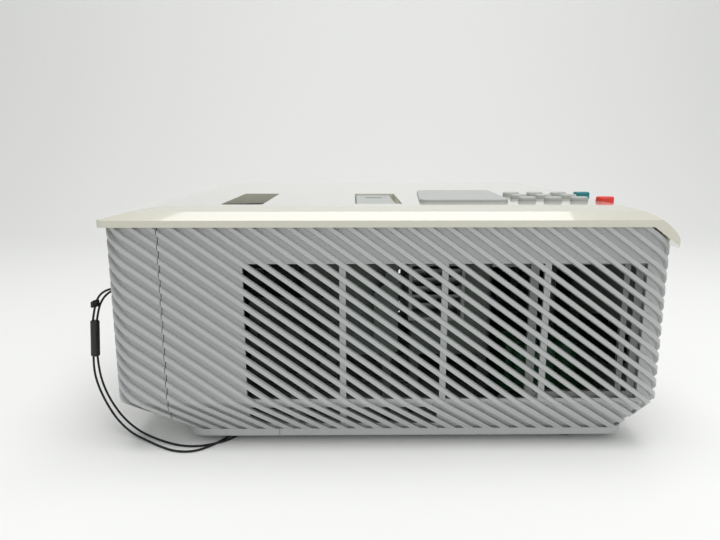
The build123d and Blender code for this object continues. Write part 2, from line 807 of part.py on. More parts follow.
for name, start, flutes in (("focus_ring", ring_starts[0], 30), ("zoom_ring", ring_starts[1], 20)):
    with BuildPart() as grip_ring:
        with BuildSketch(lens_face(start)):
            Circle(ring_radius)
            with PolarLocations(ring_radius + 0.8, flutes):
                Circle(1.9, mode=Mode.SUBTRACT)
            Circle(barrel_radius + fit, mode=Mode.SUBTRACT)
        extrude(amount=ring_width)
    grip_ring.part.label = name
    export_step(grip_ring.part, f"parts/{name}.step")


def dome_middle(edge_x, rim, rise):
    """Point half-way out on a spherical face centred on the lens axis."""
    radius = (rim**2 + rise**2) / (2 * rise)
    return (edge_x - rise + radius - math.sqrt(radius**2 - (rim / 2) ** 2), rim / 2)


cell_start = -160.0
cell_radius = barrel_bore - slide_gap
glass_radius = cell_radius - cell_wall
with BuildPart() as front_lens_cell:
    with BuildSketch(lens_face(cell_start)):
        Circle(cell_radius)
        Circle(glass_radius, mode=Mode.SUBTRACT)
    extrude(amount=cell_length)
    with BuildSketch(lens_face(cell_start + cell_length - 3)):
        Circle(cell_radius)
        Circle(glass_radius - 2.5, mode=Mode.SUBTRACT)
    extrude(amount=3)
    front_circles = front_lens_cell.edges().filter_by(GeomType.CIRCLE).group_by(Axis.X)[0]
    chamfer(front_circles.sort_by(SortBy.LENGTH)[0], 2.0)
front_lens_cell.part.label = "front_lens_cell"
export_step(front_lens_cell.part, "parts/front_lens_cell.step")

glass_rear_x = cell_start + cell_length - 3
glass_rim = 4.0
front_rise = 5.5
with BuildPart() as front_lens:
    with BuildSketch(lens_side):
        with BuildLine():
            edge_x = glass_rear_x - glass_rim
            edge_radius = glass_radius - fit
            tip = (edge_x - front_rise, 0)
            Polyline(tip, (glass_rear_x, 0), (glass_rear_x, edge_radius), (edge_x, edge_radius))
            ThreePointArc((edge_x, edge_radius), dome_middle(edge_x, edge_radius, front_rise), tip)
        make_face()
    revolve(axis=lens_axis)
front_lens.part.label = "front_lens"
export_step(front_lens.part, "parts/front_lens.step")

zoom_cell_start = -112.0
zoom_glass_radius = 20.0
zoom_rise = 4.0
with BuildPart() as zoom_lens_cell:
    with BuildSketch(lens_face(zoom_cell_start)):
        Circle(cell_radius)
        Circle(zoom_glass_radius, mode=Mode.SUBTRACT)
    extrude(amount=cell_length)
    with BuildSketch(lens_face(zoom_cell_start + cell_length - 3)):
        Circle(cell_radius)
        Circle(zoom_glass_radius - 2, mode=Mode.SUBTRACT)
    extrude(amount=3)
zoom_lens_cell.part.label = "zoom_lens_cell"
export_step(zoom_lens_cell.part, "parts/zoom_lens_cell.step")

with BuildPart() as zoom_lens:
    with BuildSketch(lens_side):
        with BuildLine():
            zoom_rear = zoom_cell_start + cell_length - 3
            zoom_edge = zoom_rear - glass_rim
            rim = zoom_glass_radius - fit
            zoom_tip = (zoom_edge - zoom_rise, 0)
            Polyline(zoom_tip, (zoom_rear, 0), (zoom_rear, rim), (zoom_edge, rim))
            ThreePointArc((zoom_edge, rim), dome_middle(zoom_edge, rim, zoom_rise), zoom_tip)
        make_face()
    revolve(axis=lens_axis)
zoom_lens.part.label = "zoom_lens"
export_step(zoom_lens.part, "parts/zoom_lens.step")

cap_x = -casing_length / 2
cap_inner = barrel_radius + fit
with BuildPart() as lens_cap:
    with BuildSketch(lens_face(cap_x)):
        Circle(lens_opening - 1)
    extrude(amount=cap_face)
    with BuildSketch(lens_face(cap_x)):
        with Locations((strap_hole_y - lens_y + 3, 0)):
            SlotOverall(20, 9)
    extrude(amount=cap_face - slide_gap)
    with BuildSketch(lens_face(cap_x + cap_face)):
        Circle(cap_inner + cap_wall)
        Circle(cap_inner, mode=Mode.SUBTRACT)
    extrude(amount=cap_depth + 2)
    face_circles = lens_cap.edges().filter_by(GeomType.CIRCLE).group_by(Axis.X)[0]
    fillet(face_circles.sort_by(SortBy.LENGTH)[-1], 0.8)
    with BuildSketch(lens_face(cap_x)):
        with Locations((strap_hole_y - lens_y, 0)):
            Circle(1.8)
    extrude(amount=cap_face, mode=Mode.SUBTRACT)
lens_cap.part.label = "lens_cap"
export_step(lens_cap.part, "parts/lens_cap.step")

# ---------------------------------------------------------------- disc loader
tray_top = tray_low + tray_thickness
tray_flange_low = tray_low + 0.8
tray_flange = 2.0
tray_flange_reach = 3.0
ledge_reach = 7.0
chassis_inner_x = 14.0
chassis_outer_x = 158.0
chassis_half = tray_width / 2 + tray_flange_reach + 5 + chassis_wall
spindle_radius = 11.0
motor_radius = 14.0
shaft_radius = 1.5
rail_offset = 16.0
rail_z = 98.0
rail_start_x = 18.0
rail_end_x = 86.0
disc_hole_radius = 7.3

with BuildPart() as dvd_tray:
    with BuildSketch(Plane.XY.offset(tray_low)):
        with Locations(((tray_inner_x + tray_front_x) / 2, tray_y)):
            RectangleRounded(tray_front_x - tray_inner_x, tray_width, 3)
    extrude(amount=tray_thickness)
    with BuildSketch(Plane.XY.offset(tray_flange_low)):
        with Locations(((tray_inner_x + chassis_outer_x) / 2, tray_y)):
            Rectangle(chassis_outer_x - tray_inner_x, tray_width + 2 * tray_flange_reach)
    extrude(amount=tray_flange)
    with BuildSketch(Plane.XY.offset(tray_top)):
        with Locations((disc_x, tray_y)):
            Circle(disc_recess_radius)
    extrude(amount=-disc_recess_depth, mode=Mode.SUBTRACT)
    with BuildSketch(Plane.XY.offset(tray_top - disc_recess_depth)):
        with Locations((disc_x, tray_y)):
            Circle(disc_recess_radius * 0.66)
    extrude(amount=-0.8, mode=Mode.SUBTRACT)
    with BuildSketch(Plane.XY.offset(tray_low)):
        slot_front = disc_x + spindle_slot / 2
        slot_length = slot_front - tray_inner_x + spindle_slot
        with Locations((slot_front - slot_length / 2, tray_y)):
            SlotOverall(slot_length, spindle_slot)
    extrude(amount=tray_thickness, mode=Mode.SUBTRACT)
dvd_tray.part.label = "dvd_tray"
export_step(dvd_tray.part, "parts/dvd_tray.step")

with BuildPart() as tray_front:
    with BuildSketch(Plane.YZ.offset(tray_front_x)):
        with Locations(tray_slot[:2]):
            RectangleRounded(tray_slot[2] - 1.2, tray_slot[3] - 1.2, 1.2)
    extrude(amount=crest_half_x - tray_front_x)
    fillet(tray_front.faces().sort_by(Axis.X)[-1].edges(), 0.6)
tray_front.part.label = "tray_front"
export_step(tray_front.part, "parts/tray_front.step")

with BuildPart() as dvd_chassis:
    chassis_middle_x = (chassis_inner_x + chassis_outer_x) / 2
    chassis_length = chassis_outer_x - chassis_inner_x
    with BuildSketch(Plane.XY.offset(chassis_low)):
        with Locations((chassis_middle_x, tray_y)):
            Rectangle(chassis_length, 2 * chassis_half)
    extrude(amount=1.5)
    ledge_low = tray_flange_low - slide_gap - 1.2
    ledge_high = tray_flange_low + tray_flange + slide_gap
    for side in (-1, 1):
        wall_y = tray_y + side * (chassis_half - chassis_wall / 2)
        ledge_y = tray_y + side * (chassis_half - ledge_reach / 2 - chassis_wall / 2)
        with Locations((chassis_middle_x, wall_y, (chassis_low + chassis_high) / 2)):
            Box(chassis_length, chassis_wall, chassis_high - chassis_low)
        with Locations(
            (chassis_middle_x, ledge_y, ledge_low + 0.6),
            (chassis_middle_x, ledge_y, ledge_high + 0.6),
        ):
            Box(chassis_length, ledge_reach, 1.2)
    for rail_end in (rail_start_x, rail_end_x):
        with Locations(
            (rail_end, tray_y - rail_offset, (chassis_low + rail_z) / 2 + 1),
            (rail_end, tray_y + rail_offset, (chassis_low + rail_z) / 2 + 1),
        ):
            Box(4, 6, rail_z - chassis_low + 2)
    with BuildSketch(Plane.YZ.offset(rail_start_x - 3)):
        with Locations((tray_y - rail_offset, rail_z), (tray_y + rail_offset, rail_z)):
            Circle(shaft_radius + 0.02)
    extrude(amount=rail_end_x - rail_start_x + 6, mode=Mode.SUBTRACT)
    with BuildSketch(Plane.XY.offset(chassis_low)):
        with Locations(((rail_start_x + rail_end_x) / 2, tray_y)):
            RectangleRounded(46, 22, 4)
        with Locations((disc_x + 36, tray_y)):
            RectangleRounded(26, 80, 4)
        with Locations((disc_x, tray_y)):
            Circle(motor_radius - 2)
    extrude(amount=1.5, mode=Mode.SUBTRACT)
dvd_chassis.part.label = "dvd_chassis"
export_step(dvd_chassis.part, "parts/dvd_chassis.step")

with BuildPart() as spindle_motor:
    with BuildSketch(Plane.XY.offset(chassis_low + 1.5)):
        with Locations((disc_x, tray_y)):
            Circle(motor_radius)
    extrude(amount=7)
    fillet(spindle_motor.faces().sort_by(Axis.Z)[-1].edges(), 1.0)
    with BuildSketch(Plane.XY.offset(chassis_low - 3)):
        with Locations((disc_x, tray_y)):
            Circle(motor_radius - 2.1)
    extrude(amount=5)
    with BuildSketch(Plane.XY.offset(chassis_low + 2)):
        with Locations((disc_x, tray_y)):
            Circle(shaft_radius + fit)
    extrude(amount=10, mode=Mode.SUBTRACT)
spindle_motor.part.label = "spindle_motor"
export_step(spindle_motor.part, "parts/spindle_motor.step")

disc_rest = tray_top - disc_recess_depth
motor_top = chassis_low + 8.5
with BuildPart() as spindle_hub:
    with BuildSketch(Plane.XY.offset(chassis_low + 3)):
        with Locations((disc_x, tray_y)):
            Circle(shaft_radius)
    extrude(amount=disc_rest - chassis_low - 3)
    with BuildSketch(Plane.XY.offset(disc_rest - 3)):
        with Locations((disc_x, tray_y)):
            Circle(spindle_radius)
    extrude(amount=2.2)
    with BuildSketch(Plane.XY.offset(disc_rest - 1)):
        with Locations((disc_x, tray_y)):
            Circle(disc_hole_radius)
    extrude(amount=3)
    fillet(spindle_hub.faces().sort_by(Axis.Z)[-1].edges(), 1.2)
    with BuildSketch(Plane.XY.offset(motor_top + slide_gap)):
        with Locations((disc_x, tray_y)):
            Circle(4)
    extrude(amount=disc_rest - 3 - motor_top)
spindle_hub.part.label = "spindle_hub"
export_step(spindle_hub.part, "parts/spindle_hub.step")

with BuildPart() as pickup_rails:
    with BuildSketch(Plane.YZ.offset(rail_start_x - 1.5)):
        with Locations((tray_y - rail_offset, rail_z), (tray_y + rail_offset, rail_z)):
            Circle(shaft_radius)
    extrude(amount=rail_end_x - rail_start_x + 3)
pickup_rails.part.label = "pickup_rails"
export_step(pickup_rails.part, "parts/pickup_rails.step")

sled_start_x = 48.0
sled_length = 24.0
with BuildPart() as pickup_sled:
    with BuildSketch(Plane.XY.offset(rail_z - 3)):
        with Locations((sled_start_x + sled_length / 2, tray_y)):
            RectangleRounded(sled_length, 2 * rail_offset + 8, 3)
    extrude(amount=5.6)
    with BuildSketch(Plane.XY.offset(rail_z + 2.6)):
        with Locations((sled_start_x + sled_length / 2, tray_y)):
            Rectangle(14, 18)
    extrude(amount=1.4)
    with BuildSketch(Plane.XY.offset(rail_z + 4)):
        with Locations((sled_start_x + sled_length / 2, tray_y)):
            Circle(3.5)
    extrude(amount=1.0)
    with BuildSketch(Plane.YZ.offset(sled_start_x - 1)):
        with Locations((tray_y - rail_offset, rail_z), (tray_y + rail_offset, rail_z)):
            Circle(shaft_radius + fit)
    extrude(amount=sled_length + 2, mode=Mode.SUBTRACT)
pickup_sled.part.label = "pickup_sled"
export_step(pickup_sled.part, "parts/pickup_sled.step")

bridge_low = chassis_high - 3.2
bridge_hole = 9.0
puck_low = tray_top + 0.6
with BuildPart() as clamp_bridge:
    with BuildSketch(Plane.XY.offset(bridge_low)):
        with Locations((disc_x, tray_y)):
            Rectangle(26, 2 * (chassis_half - chassis_wall))
            Circle(bridge_hole, mode=Mode.SUBTRACT)
    extrude(amount=1.5)
    for side in (-1, 1):
        with Locations((disc_x, tray_y + side * (chassis_half - chassis_wall / 2), chassis_high + 0.6)):
            Box(26, chassis_wall, 1.2)
        with Locations((disc_x, tray_y + side * (chassis_half - chassis_wall - 0.75), chassis_high - 1)):
            Box(26, 1.5, 4.4)
clamp_bridge.part.label = "clamp_bridge"
export_step(clamp_bridge.part, "parts/clamp_bridge.step")

with BuildPart() as clamp_puck:
    with BuildSketch(Plane.XY.offset(puck_low)):
        with Locations((disc_x, tray_y)):
            Circle(13)
    extrude(amount=1.6)
    with BuildSketch(Plane.XY.offset(puck_low)):
        with Locations((disc_x, tray_y)):
            Circle(bridge_hole - slide_gap)
    extrude(amount=bridge_low + 1.5 + slide_gap - puck_low + 0.5)
    with BuildSketch(Plane.XY.offset(bridge_low + 1.5 + slide_gap)):
        with Locations((disc_x, tray_y)):
            Circle(12)
    extrude(amount=1.2)
clamp_puck.part.label = "clamp_puck"
export_step(clamp_puck.part, "parts/clamp_puck.step")

# ---------------------------------------------------------------- light path and cooling
engine_rear_x = 6.0
engine_near_y = -112.0
engine_far_y = -26.0
engine_low = 54.0
engine_high = 132.0
leg_size = 6.0

with BuildPart() as optical_engine:
    engine_length = engine_rear_x - barrel_rear_x
    engine_width = engine_far_y - engine_near_y
    engine_middle = ((barrel_rear_x + engine_rear_x) / 2, (engine_near_y + engine_far_y) / 2)
    with BuildSketch(Plane.XY.offset(engine_low)):
        with Locations(engine_middle):
            RectangleRounded(engine_length, engine_width, 5)
    extrude(amount=engine_high - engine_low - 12)
    with BuildSketch(Plane.XY.offset(engine_high - 12)):
        with Locations(engine_middle):
            RectangleRounded(engine_length - 12, engine_width - 12, 4)
    extrude(amount=12)
    with BuildSketch(Plane.XZ.offset(-engine_near_y)):
        Polygon((-9, 60), (6, 60), (6, 122), (-2, 122), (-2, 104), (-9, 98), align=None)
    extrude(amount=12)
    with Locations([(x, engine_middle[1], engine_high - 3) for x in range(-42, -4, 6)]):
        Box(3, engine_width - 30, 6, mode=Mode.SUBTRACT)
    with BuildSketch(Plane.XY.offset(base_floor)):
        with Locations(engine_middle):
            with GridLocations(engine_length - 12, engine_width - 12, 2, 2):
                Rectangle(leg_size, leg_size)
    extrude(amount=engine_low - base_floor)
    with BuildSketch(lens_face(barrel_rear_x)):
        Circle(barrel_inner_radius)
    extrude(amount=14, mode=Mode.SUBTRACT)
optical_engine.part.label = "optical_engine"
export_step(optical_engine.part, "parts/optical_engine.step")

lamp_start_x = 14.0
lamp_end_x = 70.0
lamp_near_y = -100.0
lamp_far_y = -30.0
lamp_low = 50.0
lamp_high = 122.0
duct_near_y = -130.0
duct_span = (12.0, 46.0)
duct_low = 82.0
duct_high = 118.0
louvre_count = 5

with BuildPart() as lamp_housing:
    lamp_middle = ((lamp_start_x + lamp_end_x) / 2, (lamp_near_y + lamp_far_y) / 2)
    lamp_length = lamp_end_x - lamp_start_x
    lamp_width = lamp_far_y - lamp_near_y
    with BuildSketch(Plane.XY.offset(lamp_low)):
        with Locations(lamp_middle):
            RectangleRounded(lamp_length, lamp_width, 4)
    extrude(amount=lamp_high - lamp_low)
    fillet(lamp_housing.faces().sort_by(Axis.Z)[-1].edges(), 2)
    with BuildSketch(Plane.XZ.offset(-lamp_near_y + 1)):
        with Locations(((duct_span[0] + duct_span[1]) / 2 + 4, (duct_low + duct_high) / 2)):
            Rectangle(22, duct_high - duct_low - 8)
    extrude(amount=-40, mode=Mode.SUBTRACT)
    with BuildSketch(Plane.XY.offset(lamp_high)):
        with Locations(lamp_middle):
            with GridLocations(0, 8, 1, 6):
                SlotOverall(36, 4)
    extrude(amount=-4, mode=Mode.SUBTRACT)
    with BuildSketch(Plane.XY.offset(base_floor)):
        with Locations(lamp_middle):
            with GridLocations(lamp_length - 10, lamp_width - 10, 2, 2):
                Rectangle(leg_size, leg_size)
    extrude(amount=lamp_low - base_floor)
lamp_housing.part.label = "lamp_housing"
export_step(lamp_housing.part, "parts/lamp_housing.step")

with BuildPart() as louvre_duct:
    duct_length = duct_span[1] - duct_span[0]
    duct_middle_x = (duct_span[0] + duct_span[1]) / 2
    duct_middle_z = (duct_low + duct_high) / 2
    with BuildSketch(Plane.XZ.offset(-lamp_near_y)):
        with Locations((duct_middle_x, duct_middle_z)):
            Rectangle(duct_length, duct_high - duct_low)
            Rectangle(duct_length - 4, duct_high - duct_low - 4, mode=Mode.SUBTRACT)
    extrude(amount=lamp_near_y - duct_near_y)
    louvre_pitch = (duct_high - duct_low - 4) / (louvre_count + 1)
    for index in range(louvre_count):
        louvre_z = duct_low + 2 + (index + 1) * louvre_pitch
        with BuildSketch(Plane.YZ.offset(duct_span[0] + 1)):
            with Locations((duct_near_y + 7, louvre_z)):
                Rectangle(12, 1.4, rotation=-25)
        extrude(amount=duct_length - 2)
louvre_duct.part.label = "louvre_duct"
export_step(louvre_duct.part, "parts/louvre_duct.step")

filter_near_y = -inner_y
filter_depth = 3.0
with BuildPart() as filter_frame:
    with BuildSketch(Plane.XZ.offset(-filter_near_y - filter_depth)):
        with Locations((118, 78)):
            Rectangle(68, 88)
        with Locations((114.5, 78)):
            Rectangle(51, 80, mode=Mode.SUBTRACT)
        with Locations((145.25, 78)):
            Rectangle(3.5, 80, mode=Mode.SUBTRACT)
    extrude(amount=filter_depth)
filter_frame.part.label = "filter_frame"
export_step(filter_frame.part, "parts/filter_frame.step")

fan_x = 5.0
fan_z = 62.0
fan_size = 56.0
fan_depth = 18.0
fan_far_y = inner_y
fan_bore = 26.5
blade_count = 7
blade_reach = 25.6
fan_hub_radius = 10.0
axle_radius = 2.0


def fan_face(y):
    """Plane square to the fan's axle at y, looking towards the far side."""
    return Plane(origin=(fan_x, y, fan_z), x_dir=(-1, 0, 0), z_dir=(0, 1, 0))


with BuildPart() as fan_frame:
    with BuildSketch(fan_face(fan_far_y - fan_depth)):
        RectangleRounded(fan_size, fan_size, 4)
        Circle(fan_bore, mode=Mode.SUBTRACT)
        with GridLocations(fan_size - 8, fan_size - 8, 2, 2):
            Circle(1.6, mode=Mode.SUBTRACT)
    extrude(amount=fan_depth)
    with BuildSketch(fan_face(fan_far_y - fan_depth)):
        Circle(fan_hub_radius)
        with PolarLocations(0, 4, start_angle=45):
            with Locations((fan_bore / 2, 0)):
                Rectangle(fan_bore + 1, 3)
    extrude(amount=2)
    with BuildSketch(fan_face(fan_far_y - fan_depth + 2)):
        Circle(axle_radius)
    extrude(amount=10)
fan_frame.part.label = "fan_frame"
export_step(fan_frame.part, "parts/fan_frame.step")

rotor_near_y = fan_far_y - fan_depth + 2.6
rotor_depth = 12.0
blade_twist = 9.0
fan_axis = Axis((fan_x, 0, fan_z), (0, 1, 0))
with BuildPart() as fan_blade:
    with BuildSketch(fan_face(rotor_near_y + 1)):
        with Locations((blade_reach / 2, 0)):
            Rectangle(blade_reach, 1.6, rotation=-blade_twist)
    with BuildSketch(fan_face(rotor_near_y + rotor_depth - 1)):
        with Locations((blade_reach / 2, 0)):
            Rectangle(blade_reach, 1.6, rotation=blade_twist)
    loft(ruled=True)
with BuildPart() as fan_rotor:
    with BuildSketch(fan_face(rotor_near_y)):
        Circle(fan_hub_radius)
    extrude(amount=rotor_depth)
    for index in range(blade_count):
        add(fan_blade.part.rotate(fan_axis, 360 / blade_count * index))
    with BuildSketch(fan_face(rotor_near_y - 1)):
        Circle(axle_radius + fit)
    extrude(amount=rotor_depth - 2 + 1, mode=Mode.SUBTRACT)
fan_rotor.part.label = "fan_rotor"
export_step(fan_rotor.part, "parts/fan_rotor.step")

# ---------------------------------------------------------------- electronics
supply_thickness = 1.6
with BuildPart() as power_supply:
    with BuildSketch(Plane.XY.offset(supply_low)):
        with Locations(supply_centre):
            RectangleRounded(*supply_size, 2)
    extrude(amount=supply_thickness)
    supply_top = supply_low + supply_thickness
    with BuildSketch(Plane.XY.offset(supply_top)):
        with Locations((98, -62)):
            RectangleRounded(26, 22, 1)
    extrude(amount=22)
    with BuildSketch(Plane.XY.offset(supply_top + 5)):
        with Locations((98, -62)):
            RectangleRounded(30, 16, 2)
    extrude(amount=12)
    with BuildSketch(Plane.XY.offset(supply_top)):
        with Locations((126, -64), (126, -84)):
            Circle(8)
        with Locations((92, -94), (102, -94), (112, -94)):
            Circle(4)
    extrude(amount=26)
    with BuildSketch(Plane.XY.offset(supply_top)):
        with Locations((84, -78)):
            Rectangle(3, 30)
            with GridLocations(0, 6, 1, 5):
                with Locations((4, 0)):
                    Rectangle(8, 1.6)
    extrude(amount=28)
power_supply.part.label = "power_supply"
export_step(power_supply.part, "parts/power_supply.step")

main_board_clear = 1.5
with BuildPart() as main_board:
    with BuildSketch(Plane.XY.offset(board_low)):
        with Locations(board_centre):
            RectangleRounded(*board_size, 3)
        with Locations([place for place in loader_posts if place[0] < 132]):
            Circle(loader_post_radius + main_board_clear, mode=Mode.SUBTRACT)
    extrude(amount=board_thickness)
    board_top = board_low + board_thickness
    with BuildSketch(Plane.XY.offset(board_top)):
        with Locations((0, 50), (60, 70)):
            Rectangle(28, 28)
        with GridLocations(16, 22, 4, 2):
            Rectangle(11, 6)
        with Locations((118, 40)):
            Rectangle(10, 50)
    extrude(amount=2)
    with BuildSketch(Plane.XY.offset(board_top + 2)):
        with Locations((0, 50)):
            with GridLocations(5, 0, 6, 1):
                Rectangle(1.5, 28)
    extrude(amount=10)
main_board.part.label = "main_board"
export_step(main_board.part, "parts/main_board.step")

panel_thickness = 2.0
with BuildPart() as connector_panel:
    with BuildSketch(Plane.YZ.offset(inner_x - panel_thickness)):
        with Locations(socket_field[:2]):
            Rectangle(socket_field[2] + 8, socket_field[3] + 6)
    extrude(amount=panel_thickness)
    jack_x = inner_x
    with BuildSketch(Plane.YZ.offset(jack_x)):
        with Locations((28, 64), (42, 64), (56, 64)):
            Circle(4.2)
            Circle(1.6, mode=Mode.SUBTRACT)
    extrude(amount=6)
    with BuildSketch(Plane.YZ.offset(jack_x)):
        with Locations((36, 49)):
            RectangleRounded(31, 12, 3)
        with Locations((64, 49)):
            RectangleRounded(15, 7, 1)
        with Locations((82, 62)):
            Circle(6.5)
            Circle(4.5, mode=Mode.SUBTRACT)
        with Locations((82, 48), (96, 48)):
            Circle(4)
            Circle(1.8, mode=Mode.SUBTRACT)
        with Locations((105, 62)):
            RectangleRounded(14, 6, 0.8)
    extrude(amount=3.5)
    with BuildSketch(Plane.YZ.offset(jack_x + 3.5)):
        with Locations((36, 49)):
            RectangleRounded(17, 8, 2)
        with Locations((64, 49)):
            RectangleRounded(12, 4, 0.5)
        with Locations((105, 62)):
            RectangleRounded(12, 4, 0.5)
    extrude(amount=-2.5, mode=Mode.SUBTRACT)
connector_panel.part.label = "connector_panel"
export_step(connector_panel.part, "parts/connector_panel.step")

inlet_depth = 18.0
inlet_pins = [(-7.0, -2.0), (0.0, 2.0), (7.0, -2.0)]
with BuildPart() as ac_inlet:
    with BuildSketch(Plane.YZ.offset(rear_wall_x - inlet_depth)):
        with Locations(inlet_field[:2]):
            Rectangle(inlet_field[2] - 0.4, inlet_field[3] - 0.4)
    extrude(amount=inlet_depth)
    with BuildSketch(Plane.YZ.offset(rear_wall_x)):
        with Locations(inlet_field[:2]):
            RectangleRounded(inlet_field[2] + 5, inlet_field[3] + 4, 2)
    extrude(amount=1.5)
    with BuildSketch(Plane.YZ.offset(rear_wall_x + 1.5)):
        with Locations(inlet_field[:2]):
            Polygon(
                (-12.2, -8.3), (12.2, -8.3), (12.2, 4.2), (8.2, 8.3), (-8.2, 8.3), (-12.2, 4.2), align=None
            )
    extrude(amount=-15, mode=Mode.SUBTRACT)
    for pin_y, pin_z in inlet_pins:
        with Locations((rear_wall_x - 9, inlet_field[0] + pin_y, inlet_field[1] + pin_z)):
            Box(12, 2, 4)
ac_inlet.part.label = "ac_inlet"
export_step(ac_inlet.part, "parts/ac_inlet.step")

rocker_radius = 9.0
rocker_width = 11.0
pivot_radius = 1.5
pivot_x = rear_wall_x - 7.0
with BuildPart() as switch_housing:
    with BuildSketch(Plane.YZ.offset(rear_wall_x - inlet_depth)):
        with Locations(switch_field[:2]):
            Rectangle(switch_field[2] - 0.4, switch_field[3] - 0.4)
    extrude(amount=inlet_depth)
    with BuildSketch(Plane.YZ.offset(rear_wall_x)):
        with Locations(switch_field[:2]):
            RectangleRounded(switch_field[2] + 4, switch_field[3] + 4, 2)
    extrude(amount=1.0)
    with BuildSketch(Plane.XZ.offset(-switch_field[0] - rocker_width / 2 - slide_gap)):
        with Locations((pivot_x, switch_field[1])):
            Circle(rocker_radius + slide_gap)
        with Locations((pivot_x + 6, switch_field[1])):
            Rectangle(12, 2 * (rocker_radius + slide_gap))
    extrude(amount=rocker_width + 2 * slide_gap, mode=Mode.SUBTRACT)
    with BuildSketch(Plane.XZ.offset(-switch_field[0] - rocker_width / 2 - 1.5)):
        with Locations((pivot_x, switch_field[1])):
            Circle(pivot_radius + fit)
    extrude(amount=rocker_width + 3, mode=Mode.SUBTRACT)
switch_housing.part.label = "switch_housing"
export_step(switch_housing.part, "parts/switch_housing.step")

with BuildPart() as power_rocker:
    with BuildSketch(Plane.XZ.offset(-switch_field[0] - rocker_width / 2)):
        with BuildLine():
            face_high = (pivot_x + 9.0, switch_field[1] + rocker_radius - 2.4)
            face_low = (pivot_x + 6.0, switch_field[1] - rocker_radius + 1.6)
            Line(face_low, (pivot_x + 6.2, switch_field[1]))
            Line((pivot_x + 6.2, switch_field[1]), face_high)
            Line(face_high, (pivot_x + 2, switch_field[1] + rocker_radius - 1.2))
            ThreePointArc(
                (pivot_x + 2, switch_field[1] + rocker_radius - 1.2),
                (pivot_x - rocker_radius + 1, switch_field[1]),
                (pivot_x + 2, switch_field[1] - rocker_radius + 1.2),
            )
            Line((pivot_x + 2, switch_field[1] - rocker_radius + 1.2), face_low)
        make_face()
    extrude(amount=rocker_width)
    with BuildSketch(Plane.XZ.offset(-switch_field[0] - rocker_width / 2 - 1.2)):
        with Locations((pivot_x, switch_field[1])):
            Circle(pivot_radius)
    extrude(amount=rocker_width + 2.4)
power_rocker.part.label = "power_rocker"
export_step(power_rocker.part, "parts/power_rocker.step")

speaker_x = -58.0
speaker_z = 72.0
with BuildPart() as speakers:
    for side in (-1, 1):
        front = Plane(origin=(speaker_x, side * inner_y, speaker_z), x_dir=(1, 0, 0), z_dir=(0, -side, 0))
        with BuildSketch(front):
            RectangleRounded(52, 52, 4)
            Circle(22, mode=Mode.SUBTRACT)
        extrude(amount=3)
        with BuildSketch(front.offset(2.9)):
            Circle(24)
        with BuildSketch(front.offset(14)):
            Circle(13)
        loft()
        with BuildSketch(front.offset(14)):
            Circle(15)
        extrude(amount=7)
        with BuildSketch(front.offset(2.0)):
            Circle(20)
        with BuildSketch(front.offset(11)):
            Circle(7)
        loft(mode=Mode.SUBTRACT)
speakers.part.label = "speakers"
export_step(speakers.part, "parts/speakers.step")

# ---------------------------------------------------------------- lens cap strap
strand_diameter = 1.4
slider_top = (-190.4, -105.0, 75.4)
slider_bottom = (-192.0, -105.0, 51.4)
slider_radius = 2.85
strand_offset = 1.3


def corner_radii(points):
    """Each corner's radius: 0.45 of its shorter run over the tangent of half its turn."""
    places = [Vector(*point) for point in points]
    radii = []
    for before, here, after in zip(places, places[1:], places[2:]):
        turn = math.radians((here - before).get_angle(after - here))
        shorter = min((here - before).length, (after - here).length)
        radii.append(0.45 * shorter / math.tan(turn / 2))
    return radii


def strap_tube(name, points):
    """A strand along its route of straight runs and tangent arcs."""
    radii = corner_radii(points)
    with BuildPart() as tube:
        with BuildLine() as route:
            FilletPolyline(*points, radius=radii)
        start = route.line @ 0
        with BuildSketch(Plane(origin=start, z_dir=route.line % 0)):
            Circle(strand_diameter / 2)
        sweep()
    length = sum(edge.length for edge in route.edges())
    section = math.pi * strand_diameter**2 / 4
    print(name, "length", round(length, 1), "radii", [round(radius, 1) for radius in radii])
    print(name, "volume share", round(tube.part.volume / (section * length), 4))
    tube.part.label = name
    export_step(tube.part, f"parts/{name}.step")
    return tube.part


